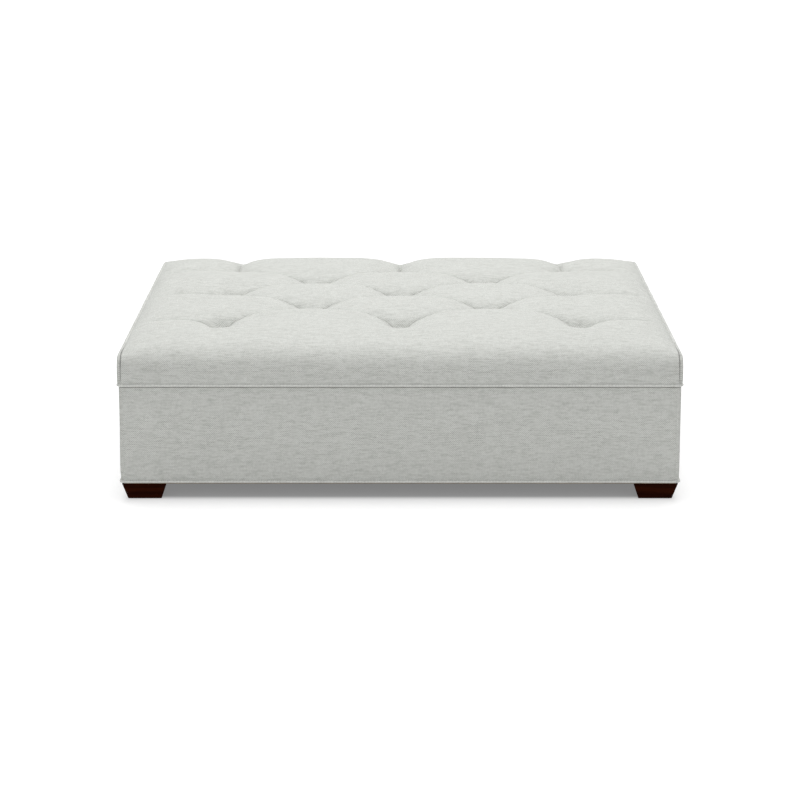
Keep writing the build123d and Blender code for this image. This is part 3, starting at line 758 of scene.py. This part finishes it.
def pleat_profile(kind, t, length, start):
    """Depth of a pleat's line at the share t of its length from start."""
    if kind == "between":
        return PLEAT_DEPTH + (TUFT_DEPTH - PLEAT_DEPTH) * np.abs(2 * t - 1) ** PLEAT_CURVE
    away = t * length
    if kind == "front":
        depth = FRONT_PLEAT_DEPTH + (TUFT_DEPTH - FRONT_PLEAT_DEPTH) * fade(away, *FRONT_PLEAT_FALL)
        return depth * fade(away, *FRONT_PLEAT_FADE)
    if kind == "back":
        depth = BACK_PLEAT_DEPTH + (TUFT_DEPTH - BACK_PLEAT_DEPTH) * np.exp(-away / TUFT_PULL)
        depth = depth + BACK_PLEAT_EXTRA * smoothstep((away - BACK_EXTRA_START) / BACK_EXTRA_LENGTH)
        share = OUTER_BACK_SHARE if start[0] else 1.0
        return share * depth * fade(away, *BACK_PLEAT_FADE)
    # Side pleats are deeper towards the back
    level = SIDE_PLEAT_DEPTH * (1 + SIDE_ROW_SHARE * start[1] / TUFT_STEP_DEEP)
    depth = level + (TUFT_DEPTH - level) * np.exp(-away / TUFT_PULL)
    return depth * fade(away, *SIDE_PLEAT_FADE)


def pleat_fold(kind, share, away, along):
    """Depth of the crease and lip beside a pleat's line, away from it and along it."""
    gain = FRONT_FOLD_SHARE if kind == "front" else 1.0
    sharp = np.clip(share * FOLD_GAIN, 0, 1) * gain
    lip = np.clip(share * LIP_GAIN + LIP_LEAST, 0, 1) * gain
    over_roll = fade(along, *ROLL_FOLD_FADE)
    if kind in ("front", "back"):
        sharp = sharp * over_roll
        lip = lip * over_roll
    elif kind == "side":
        lip = lip * fade(along, *SIDE_LIP_FADE)
    crease = FOLD_DEPTH * sharp * np.exp(-away / FOLD_REACH)
    fold = crease + LIP_DEPTH * lip * np.exp(-away / LIP_REACH)
    if kind == "back":
        fold = BACK_FOLD_SHARE * fold + BACK_TAIL_DEPTH * np.exp(-away / BACK_TAIL_REACH) * over_roll
    return fold


def pleat_pucker(start, share, away, along):
    """Ripples across a pleat, clear of its line. They differ from one column of tufts to the next."""
    column = 3 * start[0] / MM
    ripple = np.sin(along / PUCKER_WAVE + column + np.sin(along / PUCKER_DRIFT))
    height = PUCKER_HEIGHT * share * ripple * np.exp(-away / PUCKER_REACH)
    return height * (1 - np.exp(-away / PUCKER_CLEAR))


def pleat_fields(u, v):
    """At each grid point: the depth that a pleat's line holds (or nan), the folds and the ripples."""
    held = np.full(u.shape, np.nan)
    fold = np.zeros(u.shape)
    pucker = np.zeros(u.shape)
    nearest_tuft = np.full(u.shape, np.inf)
    for start, end, kind in tuft_segments():
        run = np.array(end) - np.array(start)
        length = np.linalg.norm(run)
        t = np.clip(((u - start[0]) * run[0] + (v - start[1]) * run[1]) / length**2, 0, 1)
        away = np.hypot(u - start[0] - t * run[0], v - start[1] - t * run[1])
        along = t * length
        depth = pleat_profile(kind, t, length, start)
        share = np.clip((depth - FOLD_FROM) / TUFT_DEPTH, 0, 1)
        # Over the front, a pleat opens from a flat pull, as wide as the tuft
        pull = FRONT_PULL_REACH * fade(along, *FRONT_PULL_FADE) if kind == "front" else 0.0
        held = np.where(away < LINE_REACH + pull, np.fmax(held, depth), held)
        fold = np.maximum(fold, pleat_fold(kind, share, away, along))
        pucker = pucker + pleat_pucker(start, share, away, along)
        # Each tuft is pulled down flat over its washer
        for tuft_x, tuft_y in (start, end) if kind == "between" else (start,):
            from_tuft = np.hypot(u - tuft_x, v - tuft_y)
            held = np.where(from_tuft < TUFT_REACH, TUFT_DEPTH, held)
            nearest_tuft = np.minimum(nearest_tuft, from_tuft)
    # The cloth stays flat over the end of the twine
    fold = fold * (1 - np.exp(-((nearest_tuft / TWINE_REACH) ** 2)))
    return held, fold, pucker


def settle(held, reach, rounds):
    """Depth over the whole grid: held on the pleat lines, and easing away like stretched cloth on foam."""
    fixed = ~np.isnan(held)
    depth = np.where(fixed, held, 0.0)
    pull_deep = (reach / GRID_DEEP) ** 2
    pull_across = (reach / GRID_ACROSS) ** 2
    ease = 1 / (1 + 2 * pull_deep + 2 * pull_across)
    for _ in range(rounds):
        around = np.zeros_like(depth)
        around[1:-1, 1:-1] = pull_deep * (depth[:-2, 1:-1] + depth[2:, 1:-1])
        around[1:-1, 1:-1] += pull_across * (depth[1:-1, :-2] + depth[1:-1, 2:])
        depth = np.where(fixed, held, around * ease)
    return depth


def cushion_grids():
    """The outer and inner faces of the lid's cover, and its cloth coordinates."""
    seam_columns = seam_x - NEAR_SEAM
    columns = np.concatenate([-seam_columns, INNER_COLUMNS, seam_columns[::-1]])
    y, z, lean, along = np.stack([lid_profile(x) for x in columns], -1)
    x = np.broadcast_to(columns, y.shape)
    past_flat = FLAT_HALF + GRID_DEEP * np.arange(1, EDGE_ROWS + 1)
    rows = np.concatenate([-past_flat[::-1], FLAT_ROWS, past_flat])
    v = np.broadcast_to(rows[:, None], y.shape)
    held, fold, pucker = pleat_fields(x, v)
    from_seam = seam_x - np.abs(x)
    depth = settle(held, PILLOW_REACH, SETTLE_ROUNDS) + fold + pucker
    uneven = COVER_UNEVEN * rough(x, v, COVER_UNEVEN_SIZE, 5)
    depth = depth + uneven * smoothstep(from_seam / COVER_UNEVEN_FADE)
    depth = depth + seam_groove(np.sin(lean), y) * np.exp(-from_seam / SEAM_GROOVE_REACH)
    hem_fade = smoothstep((z - lid_hem) / HEM_FADE)
    on_wall = np.abs(lean) > UPRIGHT_LEAN
    depth = np.where(on_wall, depth * hem_fade + hem_tuck(z, lid_hem), depth)
    out_y, out_z = np.sin(lean), np.cos(lean)
    outer = np.stack([x, y - out_y * depth, z - out_z * depth], -1)
    depth = depth + COVER_THICKNESS
    inner = np.stack([x, y - out_y * depth, z - out_z * depth], -1)
    inner[..., 2] = np.maximum(inner[..., 2], lid_hem)
    return outer, inner, np.stack([x, along], -1)


def lowest_near(levels, reach):
    """The lowest level within a few grid steps of each point."""
    lowest = levels
    for axis in (0, 1):
        shifted = [np.roll(lowest, shift, axis) for shift in range(-reach, reach + 1)]
        lowest = np.min(shifted, axis=0)
    return lowest


def foam_grids(cover):
    """The upper and lower faces of the foam, which stays under every crease of the cover above it."""
    picked = (slice(1, -1, FOAM_STEP), slice(len(NEAR_SEAM), -len(NEAR_SEAM), FOAM_STEP))
    upper = cover[picked].copy()
    level = lowest_near(cover[..., 2], FOAM_STEP)[picked]
    upper[..., 2] = np.maximum(level - FOAM_CLEAR, foam_floor)
    lower = upper.copy()
    lower[..., 2] = foam_floor - FOAM_LEAST
    return upper, lower


# Top cover of the lid, and the foam under it
outer, inner, cloth = cushion_grids()
top_cover = shell_piece(
    "lid_cover_top", outer, inner, cloth, cover_cloth, "lid", heights=outer[..., 2]
)
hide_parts("lid_top_panel")

foam_upper, foam_lower = foam_grids(inner)
foam_core = shell_piece(
    "lid_foam_core", foam_upper, foam_lower, foam_upper[..., :2], foam_stuff, "lid"
)
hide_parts("lid_foam")


# Side covers of the lid
def side_grid():
    """A side panel's grid: how far it stands out from the seam's plane, and its y and z."""
    half = half_depth - SIDE_SET_BACK
    top = seam_level - SIDE_SET_BACK
    radius = SEAM_ROLL - SIDE_SET_BACK
    ends = half - SIDE_NEAR_EDGE
    middle = np.linspace(-ends[-1], ends[-1], SIDE_MIDDLE_COLUMNS)[1:-1]
    y = np.concatenate([-ends, middle, ends[::-1]])
    past_roll = np.clip(np.abs(y) - (half - radius), 0, radius)
    roof = top - radius + np.sqrt(np.maximum(radius**2 - past_roll**2, 0))
    high_rows = 1 - SIDE_NEAR_EDGE[::-1] / (top - lid_hem)
    rows = np.concatenate([np.linspace(0, high_rows[0], SIDE_LOW_ROWS)[:-1], high_rows])[:, None]
    z = lid_hem + rows * (roof - lid_hem)[None, :]
    y = np.broadcast_to(y, z.shape)
    # Distance from the seam, which is straight up the ends, round the corners and level along the top
    from_end = half - np.abs(y)
    from_top = top - z
    corner_y = np.abs(y) - (half - radius)
    corner_z = z - (top - radius)
    from_corner = np.hypot(corner_y, corner_z)
    in_corner = (corner_y > 0) & (corner_z > 0)
    from_edge = np.where(in_corner, radius - from_corner, np.minimum(from_end, from_top))
    from_edge = np.clip(from_edge, 0, None)
    swell = np.sqrt(1 - (1 - np.clip(from_edge / SIDE_SWELL_REACH, 0, 1)) ** 2)
    tuck = hem_tuck(z, lid_hem)
    out = (half_width - seam_x) * swell + SIDE_UNEVEN * rough(y, z, SIDE_UNEVEN_SIZE, 9) * swell - tuck
    # The edge itself is drawn into the seam
    arm = np.maximum(from_corner, 1e-9)
    pull_y = np.where(in_corner, corner_y / arm, from_end < from_top)
    pull_z = np.where(in_corner, corner_z / arm, from_end >= from_top)
    drawn = (seam_groove(pull_y, y) - SIDE_SET_BACK) * (from_edge < ON_EDGE)
    y = y - np.sign(y) * (drawn * pull_y + tuck * (from_edge < SIDE_TUCK_REACH))
    z = np.maximum(z - drawn * pull_z, lid_hem)
    return out, y, z


def side_cover(name, node, side):
    """A boxed side panel of the lid, swelling out of its seams."""
    out, y, z = side_grid()
    outer_side = np.stack([side * (seam_x + out), y, z], -1)
    inner_side = outer_side.copy()
    inner_side[..., 0] = side * (seam_x - SIDE_BEHIND_SEAM)
    cloth = np.stack([y, z], -1)
    piece = shell_piece(
        name, outer_side, inner_side, cloth, cover_cloth, "lid", flip=side < 0
    )
    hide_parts(node)


side_cover("lid_cover_left", "lid_side_panel_left", -1)
side_cover("lid_cover_right", "lid_side_panel_right", 1)


# Base covers
def base_section():
    """Section of a base panel as (offset inwards, level): wall, turned top edge, flap and inner face."""
    hem = base_low.z + HEM_LIFT - BASE_BEHIND_WELT
    turn_level = pad_top + BASE_PAD_CROWN - BASE_TURN
    flap = base_half - lining_high.x
    rail_top = hinge_seat - BASE_BELOW_SEAT
    section = [(0.0, z) for z in np.linspace(hem, turn_level, WALL_ROWS)]
    for angle in np.linspace(0, math.pi / 2, TURN_ROWS + 1)[1:]:
        section.append((BASE_TURN - BASE_TURN * math.cos(angle), turn_level + BASE_TURN * math.sin(angle)))
    section += [(flap - FLAP_EDGE_WIDTH, pad_top), (flap, pad_top - FLAP_EDGE_DROP)]
    section += [(flap, rail_top), (BASE_THICKNESS, rail_top), (BASE_THICKNESS, hem)]
    return np.array(section)


def base_stations(node, with_corners):
    """Stations along a panel's plan as (quarter, arc or straight, share), the same for every offset."""
    marks = [NEAR_BASE_END, np.linspace(0, 1, BASE_STRAIGHT_MARKS), 1 - NEAR_BASE_END]
    if node == "base_back_panel":
        run_half = base_half - BASE_CORNER
        for hinge_x, edge in itertools.product(HINGE_PLACES, (-HINGE_HALF, HINGE_HALF)):
            marks.append((run_half - hinge_x - edge) / (2 * run_half) + BESIDE_HINGE)
    straight = [(0, "straight", share) for share in np.unique(np.concatenate(marks))]
    if not with_corners:
        return straight
    shares = np.linspace(0, 1, BASE_ARC_STEPS + 1)
    first_arc = [(0, "arc", share) for share in shares[:-1]]
    last_arc = [(1, "arc", share) for share in shares[1:]]
    return first_arc + straight + last_arc


def base_place(first_quarter, station, offset):
    """Plan point of a station at an offset inside the outer face."""
    quarter, kind, share = station
    radius = max(BASE_CORNER - offset, LEAST_CORNER)
    centre = (base_half - offset - radius, base_half - offset - radius)
    quarter += first_quarter
    if kind == "arc":
        return corner_place(quarter, 90 * (quarter + share), centre, radius)
    start = corner_place(quarter, 90 * (quarter + 1), centre, radius)
    end = corner_place(quarter + 1, 90 * (quarter + 1), centre, radius)
    return start + share * (end - start)


def base_cover(name, node, first_quarter, with_corners):
    """A cover panel of the base: the wall, its turned top edge and the flap on top of the rail."""
    section = base_section()
    heights = running_lengths(section)
    stations = base_stations(node, with_corners)
    lengths = running_lengths([base_place(first_quarter, station, 0.0) for station in stations])
    from_end = np.minimum(lengths, lengths[-1] - lengths)
    grooves = BASE_GROOVE * np.exp(-from_end / BASE_GROOVE_REACH)
    points, cloth = [], []
    for station, groove, run in zip(stations, grooves, lengths):
        for k, (offset, level) in enumerate(section):
            if k < WALL_ROWS + TURN_ROWS:
                offset += groove
            if 0 < k < WALL_ROWS - 1:
                offset -= BASE_UNEVEN * float(rough(run + first_quarter, level, BASE_UNEVEN_SIZE, 21))
            if k < WALL_ROWS:
                offset += hem_tuck(level, section[0, 1])
            x, y = base_place(first_quarter, station, offset)
            at_hinge = min(abs(x - hinge_x) for hinge_x in HINGE_PLACES) < HINGE_HALF
            if node == "base_back_panel" and at_hinge:
                level = min(level, hinge_seat)
            points.append((x, y, level))
            cloth.append((run - lengths[-1] / 2, heights[k]))
    faces = ring_faces(len(stations), len(section), flip=True)
    faces += cap_faces(len(stations), len(section), flip=True)
    piece = make_piece(name, points, faces, cloth, cover_cloth, "base")
    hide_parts(node)


# Each starts at its first quarter: 0 and 3 end the right side, 1 and 2 the left
base_cover("base_cover_back", "base_back_panel", 0, False)
base_cover("base_cover_left", "base_left_panel", 1, True)
base_cover("base_cover_front", "base_front_panel", 2, False)
base_cover("base_cover_right", "base_right_panel", 3, True)


# Welts
def welt(name, node, low, high, body, seed, shift):
    """A piping cord round the plan, wrapped in the cover cloth, with its lapped join at the back."""
    radius = (high.z - low.z) / 2
    level = (high.z + low.z) / 2 + shift
    path, run = corner_loop(
        high.x - radius, high.y - radius, WELT_CORNER, WELT_ARC_STEPS, WELT_STRAIGHT_STEPS
    )
    tangent = np.roll(path, -1, 0) - np.roll(path, 1, 0)
    tangent = tangent / np.linalg.norm(tangent, axis=1)[:, None]
    outward = np.stack([tangent[:, 1], -tangent[:, 0]], -1)
    sway = np.abs(WELT_UNEVEN * rough(run, 0 * run, WELT_UNEVEN_SIZE, seed))
    at_join = (np.abs(path[:, 0] - WELT_JOIN_X) < WELT_JOIN_HALF) & (path[:, 1] > 0)
    thick = radius * (1 + WELT_JOIN_SWELL * at_join)
    points, cloth = [], []
    for i, along in enumerate(run):
        for step in range(WELT_RING):
            angle = 2 * math.pi * step / WELT_RING
            reach = thick[i] * math.cos(angle) + WELT_PROUD - sway[i]
            x, y = path[i] + outward[i] * reach
            points.append((x, y, level + radius * math.sin(angle)))
            # Cut on the bias, so its weave lies across the cord
            turn = step * 2 * math.pi * radius / WELT_RING
            cloth.append(((along + turn) * BIAS_SHARE, (along - turn) * BIAS_SHARE))
    faces = ring_faces(len(path), WELT_RING, closed=True, flip=True)
    piece = make_piece(name, points, faces, cloth, welt_cloth_painted_light, body)
    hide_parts(node)


welt("lid_piping", "lid_welt", lid_welt_low, lid_welt_high, "lid", 31, LID_WELT_SHIFT)
welt("base_piping", "base_welt", base_welt_low, base_welt_high, "base", 37, HEM_LIFT)


# Linings
def loops_piece(name, loops, material, body):
    """A closed piece from stacked loops of the same number of points, with flat caps at both ends."""
    size = len(loops[0])
    points = np.concatenate(loops)
    faces = ring_faces(len(loops), size) + cap_faces(len(loops), size)
    cloth = np.stack([points[:, 0], points[:, 1] + points[:, 2]], -1)
    piece = make_piece(name, points, faces, cloth, material, body)
    for cap in (-2, -1):
        piece.data.polygons[cap].use_smooth = False
    return piece


def loop_at(half_x, half_y, inset, radius, level):
    """A rounded rectangle of points at a level, set in from its full size."""
    plan, _ = corner_loop(half_x - inset, half_y - inset, radius, LOOP_ARC_STEPS, LOOP_STRAIGHT_STEPS)
    return np.column_stack([plan, np.full(len(plan), level)])


def storage_lining():
    """The box lining, from the middle of its underside up, over the turned rim and down to its floor."""
    half, floor, rim = lining_high.x, lining_low.z, lining_high.z
    # Inset and corner radius in millimetres, and level
    loops = (
        (40, 4, floor),
        (0, 1, floor),
        (0, 1, rim),
        (2.2, 2, rim),
        (2.2, 2, rim - 14 * MM),
        (1.2, 3, rim - 15 * MM),
        (1.2, 5, floor + 9 * MM),
        (3.0, 6, floor + 4 * MM),
        (8.0, 6, floor + 1.4 * MM),
        (40, 4, floor + 1.0 * MM),
    )
    points = [loop_at(half, half, inset * MM, corner * MM, level) for inset, corner, level in loops]
    piece = loops_piece("storage_lining_cloth", points, lining_cloth, "base")
    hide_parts("storage_lining")


def flat_sheet(name, node, low, high, radius, material, body):
    """A stapled sheet with a turned hem all round, on its lower face."""
    middle = (low.z + high.z) / 2
    # Inset, corner radius and level, from inside the hem out and over the edge
    loops = (
        (SHEET_HEM, SHEET_CORNER, low.z + SHEET_RELIEF),
        (SHEET_HEM - SHEET_HEM_STEP, SHEET_CORNER, low.z),
        (SHEET_EDGE, radius, low.z),
        (0.0, radius, middle),
        (SHEET_EDGE, radius, high.z),
    )
    points = [loop_at(high.x, high.y, inset, corner, level) for inset, corner, level in loops]
    piece = loops_piece(name, points, material, body)
    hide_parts(node)


storage_lining()
flat_sheet(
    "lid_lining_cloth", "lid_lining", lid_lining_low, lid_lining_high, 6 * MM,
    lining_cloth, "lid",
)
flat_sheet(
    "dust_cover_cloth", "dust_cover", dust_low, dust_high, 4 * MM,
    dust_cloth, "base",
)


# Studio
def floor_glow(n, seen):
    """Light of the floor's own where it is seen, so that it runs into the white backdrop, with painted
    light where the contact shadow ends.
    """
    place = n.object_place()
    distance = n.add("ShaderNodeVectorMath", {0: place}, operation="LENGTH").outputs["Value"]
    smooth = {"interpolation_type": "SMOOTHSTEP"}
    lift = n.ramp(distance, 2.5, 8.0, 0.203, 0.50, **smooth)
    # A little more just outside the footprint, where the contact shadow ends: painted light that cuts the
    # shadow short
    parts = n.separated(place)
    from_middle = n.math("MAXIMUM", n.math("ABSOLUTE", parts[0]), n.math("ABSOLUTE", parts[1]))
    edge = n.ramp(from_middle, 0.606, 0.652, 0.0, 0.40, **smooth)
    return n.math("MULTIPLY", seen, n.math("ADD", lift, edge))


def studio_floor():
    """A wide pale floor, which looks darker to the camera than to the lamps."""
    reach = 30.0
    corners = [(-reach, -reach, 0), (reach, -reach, 0), (reach, reach, 0), (-reach, reach, 0)]
    mesh = bpy.data.meshes.new("studio_floor")
    mesh.from_pydata(corners, [], [(0, 1, 2, 3)])
    floor = bpy.data.objects.new("studio_floor", mesh)
    scene.collection.objects.link(floor)
    material, n, shader = new_material("studio_floor")
    seen = n.seen_directly()
    n.feed(shader, {
        "Base Color": n.mix(seen, (0.86, 0.86, 0.86), (0.45, 0.45, 0.45)),
        "Emission Color": (1, 1, 1, 1),
        "Emission Strength": floor_glow(n, seen),
        "Roughness": 0.9,
        "Specular IOR Level": 0.0,
    })
    mesh.materials.append(material)


def daylight(ambient):
    """White all round: full where it is seen, and dimmer as light."""
    world = bpy.data.worlds.new("studio")
    scene.world = world
    world.use_nodes = True
    n = Nodes(world.node_tree)
    strength = n.scaled(n.seen_directly(), 1.0 - ambient, ambient)
    n.feed(world.node_tree.nodes["Background"], {"Color": (1, 1, 1, 1), "Strength": strength})


def softbox(name, place, aim, size, watts):
    """A large soft lamp."""
    lamp = bpy.data.lights.new(name, "AREA")
    lamp.shape = "RECTANGLE"
    lamp.size, lamp.size_y = size
    lamp.energy = watts
    holder = bpy.data.objects.new(name, lamp)
    scene.collection.objects.link(holder)
    holder.location = place
    holder.rotation_euler = (Vector(aim) - Vector(place)).to_track_quat("-Z", "Y").to_euler()


studio_floor()
daylight(ambient=0.55)
softbox("overhead", place=(0.0, 1.4, 6.0), aim=(0.0, 0.0, 0.3), size=(6.0, 4.0), watts=360)
softbox("near_top", place=(0.0, -0.8, 2.4), aim=(0.0, -0.8, 0.0), size=(2.5, 1.0), watts=6)
softbox("front_fill", place=(0.0, -5.5, 1.9), aim=(0.0, 0.0, 0.2), size=(5.0, 2.5), watts=50)

camera_data = bpy.data.cameras.new("camera")
camera_data.sensor_width = CAMERA_SENSOR_MM
camera_data.lens = CAMERA_LENS_MM
camera = bpy.data.objects.new("camera", camera_data)
scene.collection.objects.link(camera)
camera.location = (0.0, -CAMERA_DISTANCE, CAMERA_HEIGHT)
camera.rotation_euler = (math.radians(90 - CAMERA_PITCH_DEGREES), 0, 0)
scene.camera = camera
scene.view_settings.view_transform = "Standard"
